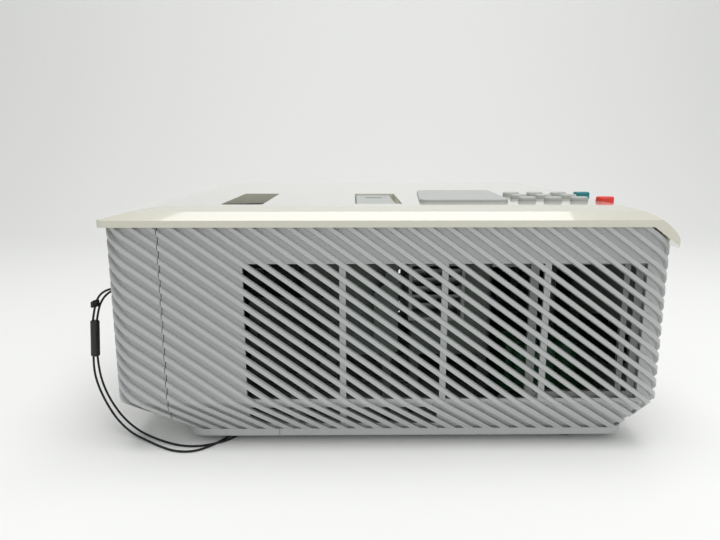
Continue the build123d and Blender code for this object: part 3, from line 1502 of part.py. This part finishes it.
hitch_routes = {
    "strap_hitch_outer": [
        (cap_x, strap_hole_y - 2.9, 98.0),
        (-176.0, strap_hole_y - 2.9, 98.0),
        (-182.6, -108.0, 95.2),
        (-187.2, -106.2, 90.4),
        (-190.2, -105.0, 83.0),
        (slider_top[0] - strand_offset, -105.0, slider_top[2]),
    ],
    "strap_hitch_inner": [
        (cap_x, strap_hole_y + 2.9, 96.6),
        (-174.6, strap_hole_y + 2.9, 96.6),
        (-180.4, -104.2, 94.0),
        (-184.8, -104.6, 89.4),
        (-187.6, -105.0, 82.6),
        (slider_top[0] + strand_offset, -105.0, slider_top[2]),
    ],
}
strand_routes = {
    "strap_strand_outer": [
        (slider_bottom[0] - strand_offset, -105.0, slider_bottom[2]),
        (-194.0, -105.0, 42.0),
        (-191.6, -106.0, 31.0),
        (-186.0, -108.5, 19.5),
        (-177.6, -112.5, 8.8),
        (-167.2, -117.0, 1.9),
        (-156.0, -124.0, 0.8),
        (-145.0, -132.5, 0.8),
        (-133.0, -139.6, 0.8),
        (-121.0, -140.0, 0.8),
        (-112.0, -132.5, 0.8),
        (-105.6, -123.5, 0.8),
        (-101.6, -118.2, 1.5),
        (anchor_x - 1.6, anchor_y - 1.4, 5.2),
    ],
    "strap_strand_inner": [
        (slider_bottom[0] + strand_offset, -105.0, slider_bottom[2]),
        (-190.6, -105.0, 41.4),
        (-187.6, -105.6, 28.6),
        (-181.6, -107.8, 17.8),
        (-173.6, -110.6, 8.6),
        (-164.0, -113.6, 2.2),
        (-154.0, -119.6, 0.8),
        (-142.6, -127.0, 0.8),
        (-130.4, -132.6, 0.8),
        (-118.0, -133.0, 0.8),
        (-106.2, -127.4, 0.8),
        (-100.2, -121.6, 0.8),
        (-97.2, -118.0, 1.5),
        (anchor_x + 1.6, anchor_y - 1.4, 5.2),
    ],
}
for name, points in {**hitch_routes, **strand_routes}.items():
    strap_tube(name, points)

slider_axis = Vector(*slider_top) - Vector(*slider_bottom)
slider_plane = Plane(origin=slider_bottom, z_dir=slider_axis)
with BuildPart() as strap_slider:
    with BuildSketch(slider_plane):
        Circle(slider_radius)
    extrude(amount=slider_axis.length)
    fillet(strap_slider.edges().filter_by(GeomType.CIRCLE), 0.8)
strap_slider.part.label = "strap_slider"
export_step(strap_slider.part, "parts/strap_slider.step")
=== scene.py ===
"""Looks of a table-top projector with a built-in disc player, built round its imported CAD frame."""

import bpy
import json
import math
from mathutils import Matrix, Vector


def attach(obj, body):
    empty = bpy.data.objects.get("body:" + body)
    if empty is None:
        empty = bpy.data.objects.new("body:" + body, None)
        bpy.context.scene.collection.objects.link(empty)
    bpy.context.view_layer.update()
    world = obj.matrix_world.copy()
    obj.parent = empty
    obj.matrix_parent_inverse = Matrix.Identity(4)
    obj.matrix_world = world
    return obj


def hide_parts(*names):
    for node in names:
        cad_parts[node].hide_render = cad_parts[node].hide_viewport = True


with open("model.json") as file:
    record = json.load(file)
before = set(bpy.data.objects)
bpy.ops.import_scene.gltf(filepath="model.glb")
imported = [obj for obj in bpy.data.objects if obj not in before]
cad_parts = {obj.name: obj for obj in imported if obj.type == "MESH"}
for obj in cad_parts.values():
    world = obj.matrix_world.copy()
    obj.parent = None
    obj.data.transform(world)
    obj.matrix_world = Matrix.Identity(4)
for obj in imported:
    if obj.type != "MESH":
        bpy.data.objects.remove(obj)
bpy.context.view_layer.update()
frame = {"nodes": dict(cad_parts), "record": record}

# ---------------------------------------------------------------- named values, metres and degrees
CAMERA_PLACE = (-0.0212, -0.4905, 0.1857)
CAMERA_PITCH = 78.7
CAMERA_YAW = -0.56
CAMERA_LENS = 30.5
SENSOR_WIDTH = 36.0
CLIP_START = 0.01
OVERHEAD_PLACE = (0.1, -0.25, 1.5)
OVERHEAD_POWER = 15
OVERHEAD_WIDTH = 1.2
FILL_PLACE = (0.6, -1.5, 0.8)
FILL_TARGET = (0, 0, 0.07)
FILL_POWER = 4
FILL_WIDTH = 1.0
ROOM_COLOUR = (0.95, 0.97, 1.0, 1.0)
ROOM_STRENGTH = 0.48
GRAIN_DETAIL = 3.0
BUMP_DISTANCE = 0.0002
BRAID_SCALE = 900.0
BRAID_STRENGTH = 0.6
STRAND_DIAMETER = 0.0014
CAP_FACE_X = -0.170
STRAP_HOLE_Y = -0.1065
SLIDER_TOP = (-0.1904, -0.105, 0.0754)
SLIDER_BOTTOM = (-0.192, -0.105, 0.0514)
STRAND_OFFSET = 0.0013
ANCHOR = (-0.097, -0.112)


def linear(red, green, blue):
    """A display colour, 0 to 255, as the linear colour that a shader takes."""
    shares = [channel / 255 for channel in (red, green, blue)]
    return (*[s / 12.92 if s <= 0.04045 else ((s + 0.055) / 1.055) ** 2.4 for s in shares], 1.0)


# ---------------------------------------------------------------- materials
def plain(name, colour, roughness, coat=0.0, metallic=0.0):
    """A principled material with its colour and numbers set on the shader."""
    made = bpy.data.materials.new(name)
    made.use_nodes = True
    shader = made.node_tree.nodes["Principled BSDF"]
    shader.inputs["Base Color"].default_value = colour
    shader.inputs["Roughness"].default_value = roughness
    shader.inputs["Coat Weight"].default_value = coat
    shader.inputs["Metallic"].default_value = metallic
    return made


def bumped(made, kind, scale, strength):
    """Drives a material's bump from a texture in Object coordinates, and returns the texture."""
    nodes, links = made.node_tree.nodes, made.node_tree.links
    place = nodes.new("ShaderNodeTexCoord")
    texture = nodes.new(kind)
    texture.inputs["Scale"].default_value = scale
    bump = nodes.new("ShaderNodeBump")
    bump.inputs["Strength"].default_value = strength
    bump.inputs["Distance"].default_value = BUMP_DISTANCE
    links.new(place.outputs["Object"], texture.inputs["Vector"])
    links.new(texture.outputs["Fac"], bump.inputs["Height"])
    links.new(bump.outputs["Normal"], nodes["Principled BSDF"].inputs["Normal"])
    return texture


def grained(made, scale, strength):
    """Adds a fine moulded grain to a material."""
    noise = bumped(made, "ShaderNodeTexNoise", scale, strength)
    noise.inputs["Detail"].default_value = GRAIN_DETAIL
    return made


def clear_glass(name):
    """Coated lens glass."""
    made = plain(name, linear(190, 210, 235), 0.03, coat=1.0)
    made.node_tree.nodes["Principled BSDF"].inputs["Transmission Weight"].default_value = 1.0
    return made


def braided(name):
    """Dark braided cord, with one fine wave for its weave."""
    made = plain(name, linear(24, 24, 27), 0.7)
    bumped(made, "ShaderNodeTexWave", BRAID_SCALE, BRAID_STRENGTH)
    return made


finishes = {
    "casing_grey": grained(plain("casing grey", linear(180, 182, 181), 0.42), 900, 0.15),
    "lid_white": grained(plain("lid white", linear(206, 204, 188), 0.2, coat=1.0), 300, 0.04),
    "panel_grey": grained(plain("panel grey", linear(176, 179, 175), 0.40), 900, 0.15),
    "key_red": plain("key red", linear(225, 55, 45), 0.35),
    "key_teal": plain("key teal", linear(0, 120, 125), 0.35),
    "black_plastic": grained(plain("black plastic", linear(30, 30, 32), 0.45), 900, 0.2),
    "rubber": grained(plain("rubber", linear(38, 38, 38), 0.85), 700, 0.3),
    "glass": clear_glass("lens glass"),
    "dark_window": plain("dark window", linear(40, 12, 18), 0.08, coat=1.0),
    "strap_cord": braided("strap cord"),
    "steel": plain("sheet steel", linear(165, 166, 168), 0.35, metallic=1.0),
    "inner_plastic": plain("inner plastic", linear(150, 152, 150), 0.5),
    "aluminium": plain("cast aluminium", linear(98, 104, 98), 0.5, metallic=0.6),
    "circuit": plain("circuit board", linear(40, 92, 60), 0.5),
}
for part in frame["record"]["subparts"]:
    dressed = frame["nodes"][part["node"]].data
    dressed.materials.clear()
    dressed.materials.append(finishes[part["material_slot"]])


# ---------------------------------------------------------------- lens cap strap
def strand(name, points):
    """One strand: an open spline along the CAD strand's own route points."""
    curve = bpy.data.curves.new(name, "CURVE")
    curve.dimensions = "3D"
    curve.bevel_depth = STRAND_DIAMETER / 2
    curve.bevel_resolution = 4
    curve.use_fill_caps = True
    spline = curve.splines.new("NURBS")
    spline.points.add(len(points) - 1)
    for point, place in zip(spline.points, points):
        point.co = (*place, 1.0)
    spline.order_u = 3
    spline.use_endpoint_u = True
    spline.resolution_u = 16
    made = bpy.data.objects.new(name, curve)
    bpy.context.scene.collection.objects.link(made)
    curve.materials.append(finishes["strap_cord"])
    return made


strap_routes = {
    "strap_hitch_outer": [
        (CAP_FACE_X, STRAP_HOLE_Y - 0.0029, 0.098), (-0.176, STRAP_HOLE_Y - 0.0029, 0.098),
        (-0.1826, -0.108, 0.0952), (-0.1872, -0.1062, 0.0904), (-0.1902, -0.105, 0.083),
        (SLIDER_TOP[0] - STRAND_OFFSET, -0.105, SLIDER_TOP[2]),
    ],
    "strap_hitch_inner": [
        (CAP_FACE_X, STRAP_HOLE_Y + 0.0029, 0.0966), (-0.1746, STRAP_HOLE_Y + 0.0029, 0.0966),
        (-0.1804, -0.1042, 0.094), (-0.1848, -0.1046, 0.0894), (-0.1876, -0.105, 0.0826),
        (SLIDER_TOP[0] + STRAND_OFFSET, -0.105, SLIDER_TOP[2]),
    ],
    "strap_strand_outer": [
        (SLIDER_BOTTOM[0] - STRAND_OFFSET, -0.105, SLIDER_BOTTOM[2]), (-0.194, -0.105, 0.042),
        (-0.1916, -0.106, 0.031), (-0.186, -0.1085, 0.0195), (-0.1776, -0.1125, 0.0088),
        (-0.1672, -0.117, 0.0019), (-0.156, -0.124, 0.0008), (-0.145, -0.1325, 0.0008),
        (-0.133, -0.1396, 0.0008), (-0.121, -0.14, 0.0008), (-0.112, -0.1325, 0.0008),
        (-0.1056, -0.1235, 0.0008), (-0.1016, -0.1182, 0.0015),
        (ANCHOR[0] - 0.0016, ANCHOR[1] - 0.0014, 0.0052),
    ],
    "strap_strand_inner": [
        (SLIDER_BOTTOM[0] + STRAND_OFFSET, -0.105, SLIDER_BOTTOM[2]), (-0.1906, -0.105, 0.0414),
        (-0.1876, -0.1056, 0.0286), (-0.1816, -0.1078, 0.0178), (-0.1736, -0.1106, 0.0086),
        (-0.164, -0.1136, 0.0022), (-0.154, -0.1196, 0.0008), (-0.1426, -0.127, 0.0008),
        (-0.1304, -0.1326, 0.0008), (-0.118, -0.133, 0.0008), (-0.1062, -0.1274, 0.0008),
        (-0.1002, -0.1216, 0.0008), (-0.0972, -0.118, 0.0015),
        (ANCHOR[0] + 0.0016, ANCHOR[1] - 0.0014, 0.0052),
    ],
}
for name, points in strap_routes.items():
    piece = strand(name + "_braid", points)
    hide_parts(name)
    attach(piece, "casing")

# ---------------------------------------------------------------- knot in the strap
KNOT_CENTRE = (-0.1893, -0.105, 0.0865)
KNOT_RADIUS = 0.0022
KNOT_LIFT = 0.0013
KNOT_TURN_TILT = 12
KNOT_LEAN = -14


def knot():
    """The hitch knot: three turns of cord stacked round the two strands."""
    turns = []
    for index in (-1, 0, 1):
        place = (KNOT_CENTRE[0], KNOT_CENTRE[1], KNOT_CENTRE[2] + index * KNOT_LIFT)
        bpy.ops.mesh.primitive_torus_add(
            location=place,
            rotation=(math.radians(KNOT_TURN_TILT * index), math.radians(KNOT_LEAN), 0),
            major_radius=KNOT_RADIUS, minor_radius=STRAND_DIAMETER / 2,
            major_segments=32, minor_segments=12,
        )
        turns.append(bpy.context.object)
    for turn in turns:
        turn.select_set(True)
    bpy.context.view_layer.objects.active = turns[0]
    bpy.ops.object.join()
    made = bpy.context.object
    bpy.ops.object.transform_apply(location=True, rotation=True, scale=True)
    made.name = "strap_knot"
    made.data.materials.append(finishes["strap_cord"])
    for face in made.data.polygons:
        face.use_smooth = True
    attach(made, "casing")


knot()

# ---------------------------------------------------------------- painted shade: dark screens behind the far windows
SCREEN_Y = 0.136
SCREEN_THICKNESS = 0.0006
REAR_SCREEN_X = (0.0345, 0.155)
SCREEN_Z = (0.032, 0.121)
FRONT_SCREEN_X = (-0.0312, -0.0236)


def shade_sheet(name, span_x):
    """A thin dark sheet of painted shade on the far wall's inner face: it blocks light and keeps the
    casing dark inside, where the real casing has only shade.
    """
    low = Vector((span_x[0], SCREEN_Y - SCREEN_THICKNESS, SCREEN_Z[0]))
    high = Vector((span_x[1], SCREEN_Y, SCREEN_Z[1]))
    corners = [
        (x, y, z) for x in (low.x, high.x) for y in (low.y, high.y) for z in (low.z, high.z)
    ]
    faces = [(0, 1, 3, 2), (4, 6, 7, 5), (0, 4, 5, 1), (2, 3, 7, 6), (0, 2, 6, 4), (1, 5, 7, 3)]
    mesh = bpy.data.meshes.new(name)
    mesh.from_pydata(corners, [], faces)
    made = bpy.data.objects.new(name, mesh)
    bpy.context.scene.collection.objects.link(made)
    mesh.materials.append(finishes["black_plastic"])
    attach(made, "casing")


# painted shade: two dark sheets inside the casing darken what shows through the far windows, where
# the real casing has only shade
shade_sheet("painted_shade_sheet_rear", REAR_SCREEN_X)
shade_sheet("painted_shade_sheet_front", FRONT_SCREEN_X)

# ---------------------------------------------------------------- stage
FLOOR_REACH = 3.0
SWEEP_START = 0.75
SWEEP_RADIUS = 0.6
SWEEP_STEPS = 24


def backdrop():
    """A floor that sweeps up into the backdrop."""
    profile = [(-FLOOR_REACH, 0.0), (SWEEP_START, 0.0)]
    for step in range(1, SWEEP_STEPS + 1):
        turn = math.pi / 2 * step / SWEEP_STEPS
        along = SWEEP_START + SWEEP_RADIUS * math.sin(turn)
        profile.append((along, SWEEP_RADIUS * (1 - math.cos(turn))))
    profile.append((SWEEP_START + SWEEP_RADIUS, FLOOR_REACH))
    corners = [(side * FLOOR_REACH, y, z) for y, z in profile for side in (-1, 1)]
    faces = [(2 * i, 2 * i + 1, 2 * i + 3, 2 * i + 2) for i in range(len(profile) - 1)]
    mesh = bpy.data.meshes.new("backdrop")
    mesh.from_pydata(corners, [], faces)
    for face in mesh.polygons:
        face.use_smooth = True
    made = bpy.data.objects.new("backdrop", mesh)
    bpy.context.scene.collection.objects.link(made)
    mesh.materials.append(plain("paper", linear(246, 246, 243), 0.9))


backdrop()


def area_light(name, place, target, power, width):
    """A square area lamp that faces its target."""
    lamp = bpy.data.lights.new(name, "AREA")
    lamp.energy = power
    lamp.size = width
    made = bpy.data.objects.new(name, lamp)
    made.location = place
    made.rotation_mode = "QUATERNION"
    made.rotation_quaternion = (Vector(target) - Vector(place)).to_track_quat("-Z", "Y")
    bpy.context.scene.collection.objects.link(made)


area_light("overhead", OVERHEAD_PLACE, (0, 0, 0), OVERHEAD_POWER, OVERHEAD_WIDTH)
area_light("front fill", FILL_PLACE, FILL_TARGET, FILL_POWER, FILL_WIDTH)

world = bpy.data.worlds.new("room light")
bpy.context.scene.world = world
world.use_nodes = True
world.node_tree.nodes["Background"].inputs["Color"].default_value = ROOM_COLOUR
world.node_tree.nodes["Background"].inputs["Strength"].default_value = ROOM_STRENGTH

camera_data = bpy.data.cameras.new("camera")
camera_data.lens = CAMERA_LENS
camera_data.sensor_width = SENSOR_WIDTH
camera_data.clip_start = CLIP_START
camera = bpy.data.objects.new("camera", camera_data)
camera.location = CAMERA_PLACE
camera.rotation_euler = (math.radians(CAMERA_PITCH), 0, math.radians(CAMERA_YAW))
bpy.context.scene.collection.objects.link(camera)
bpy.context.scene.camera = camera
bpy.context.scene.view_settings.view_transform = "Standard"
